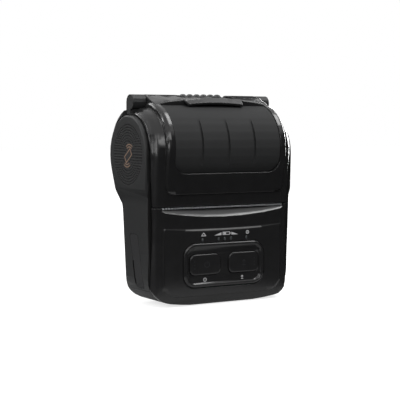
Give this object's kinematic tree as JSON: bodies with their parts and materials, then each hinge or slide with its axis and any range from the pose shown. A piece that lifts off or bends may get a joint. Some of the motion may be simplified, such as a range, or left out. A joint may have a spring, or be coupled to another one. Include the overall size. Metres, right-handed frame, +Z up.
{
  "type": "label printer",
  "caption": "Portable label printer with a hinged roll cover, paper slot, two push buttons, indicator lamps and a battery in its back.",
  "frame": {"origin": "centre of the overall outline, at the foot that the printer stands on", "axes": "+X towards the viewer's right when facing the buttons, +Y from the front to the back, +Z up"},
  "size_m": [0.105, 0.0578, 0.1287],
  "materials": {
    "gloss_black": "glossy",
    "matt_black": "matt",
    "dome_black": "fine texture",
    "inner_black": "matt",
    "lever_grey": "satin",
    "lens": "clear",
    "rubber": "soft",
    "steel": "bright",
    "aluminium": "milled",
    "ceramic": "glazed",
    "board": "solder resist",
    "nylon": "satin"
  },
  "bodies": {
    "case": {"rear_housing": "matt_black", "left_side_plate": "matt_black", "right_side_plate": "matt_black", "front_bezel": "gloss_black", "button_pad": "gloss_black", "light_guide": "lens", "tear_bar": "steel", "main_board": "board", "power_switch": "steel", "feed_switch": "steel", "usb_socket": "steel", "dc_socket": "inner_black", "battery_contacts": "inner_black", "case_screw_lower_left": "steel", "case_screw_lower_right": "steel", "case_screw_upper_left": "steel", "case_screw_upper_right": "steel", "print_frame": "steel", "print_head_sink": "aluminium", "print_head_strip": "ceramic", "head_spring_left": "steel", "head_spring_right": "steel", "feed_motor": "steel", "idler_stud": "steel", "gap_sensor": "inner_black", "roll_tray": "inner_black", "hinge_pin": "steel", "hinge_spring_left": "steel", "hinge_spring_right": "steel", "latch_spring": "steel"},
    "cover": {"cover_shell": "gloss_black", "cover_dome": "dome_black", "cover_liner": "inner_black", "platen_bush_left": "nylon", "platen_bush_right": "nylon"},
    "platen": {"platen_shaft": "steel", "platen_rubber": "rubber", "platen_gear": "nylon"},
    "idler": {"idler_gear": "nylon"},
    "motor_shaft": {"motor_pinion": "steel"},
    "latch": {"latch_yoke": "steel", "release_lever": "lever_grey"},
    "power_key": {"power_button": "gloss_black"},
    "feed_key": {"feed_button": "gloss_black"},
    "left_guide": {"media_guide_left": "inner_black"},
    "right_guide": {"media_guide_right": "inner_black"},
    "left_hub": {"guide_hub_left": "nylon"},
    "right_hub": {"guide_hub_right": "nylon"},
    "centring_pinion": {"guide_pinion": "nylon"},
    "battery": {"battery_pack": "matt_black"},
    "battery_catch": {"battery_latch": "inner_black"},
    "port_flap": {"port_cover": "rubber"}
  },
  "joints": [
    {"name": "cover_hinge", "type": "hinge", "parent": "case", "child": "cover", "pos_m": [0, 0.0069, 0.1234], "axis": [-1, 0, 0], "range_deg": [0, 95]},
    {"name": "platen_spin", "type": "hinge", "parent": "cover", "child": "platen", "pos_m": [0, -0.0134, 0.066], "axis": [1, 0, 0], "continuous": true},
    {"name": "idler_spin", "type": "hinge", "parent": "case", "child": "idler", "pos_m": [0, -0.0025, 0.06066], "axis": [1, 0, 0], "continuous": true},
    {"name": "motor_spin", "type": "hinge", "parent": "case", "child": "motor_shaft", "pos_m": [0, 0.0066, 0.0562], "axis": [1, 0, 0], "continuous": true},
    {"name": "release_slide", "type": "slide", "parent": "case", "child": "latch", "axis": [0, 0, -1], "range_m": [0, 0.004], "stiffness_N_per_m": 250, "springref_m": -0.004, "deforming": ["latch_spring"]},
    {"name": "power_press", "type": "slide", "parent": "case", "child": "power_key", "axis": [0, 1, 0], "range_m": [0, 0.0006], "stiffness_N_per_m": 900, "springref_m": -0.0004},
    {"name": "feed_press", "type": "slide", "parent": "case", "child": "feed_key", "axis": [0, 1, 0], "range_m": [0, 0.0006], "stiffness_N_per_m": 900, "springref_m": -0.0004},
    {"name": "right_guide_slide", "type": "slide", "parent": "case", "child": "right_guide", "axis": [-1, 0, 0], "range_m": [0, 0.012]},
    {"name": "left_guide_slide", "type": "slide", "parent": "case", "child": "left_guide", "axis": [1, 0, 0], "range_m": [0, 0.012]},
    {"name": "centring_pinion_spin", "type": "hinge", "parent": "case", "child": "centring_pinion", "pos_m": [0, 0.0087, 0.0648], "axis": [0, 0, 1], "range_deg": [-144, 0]},
    {"name": "right_hub_spin", "type": "hinge", "parent": "right_guide", "child": "right_hub", "pos_m": [0.038, 0.0015, 0.0932], "axis": [1, 0, 0], "continuous": true},
    {"name": "left_hub_spin", "type": "hinge", "parent": "left_guide", "child": "left_hub", "pos_m": [-0.038, 0.0015, 0.0932], "axis": [1, 0, 0], "continuous": true},
    {"name": "battery_slide", "type": "slide", "parent": "case", "child": "battery", "axis": [0, 1, 0], "range_m": [0, 0.02]},
    {"name": "battery_catch_slide", "type": "slide", "parent": "battery", "child": "battery_catch", "axis": [0, 0, -1], "range_m": [0, 0.003], "stiffness_N_per_m": 200, "springref_m": -0.003},
    {"name": "port_flap_swing", "type": "hinge", "parent": "case", "child": "port_flap", "pos_m": [-0.0507, -0.0113, 0.011], "axis": [0, 0.2089, 0.9779], "range_deg": [0, 110]}
  ],
  "couplings": [
    {"joint": "idler_spin", "follows": "platen_spin", "ratio": -0.71429},
    {"joint": "motor_spin", "follows": "platen_spin", "ratio": 1.6667},
    {"joint": "left_guide_slide", "follows": "right_guide_slide", "ratio": 1},
    {"joint": "centring_pinion_spin", "follows": "right_guide_slide", "rad_per_m": -208.33}
  ]
}
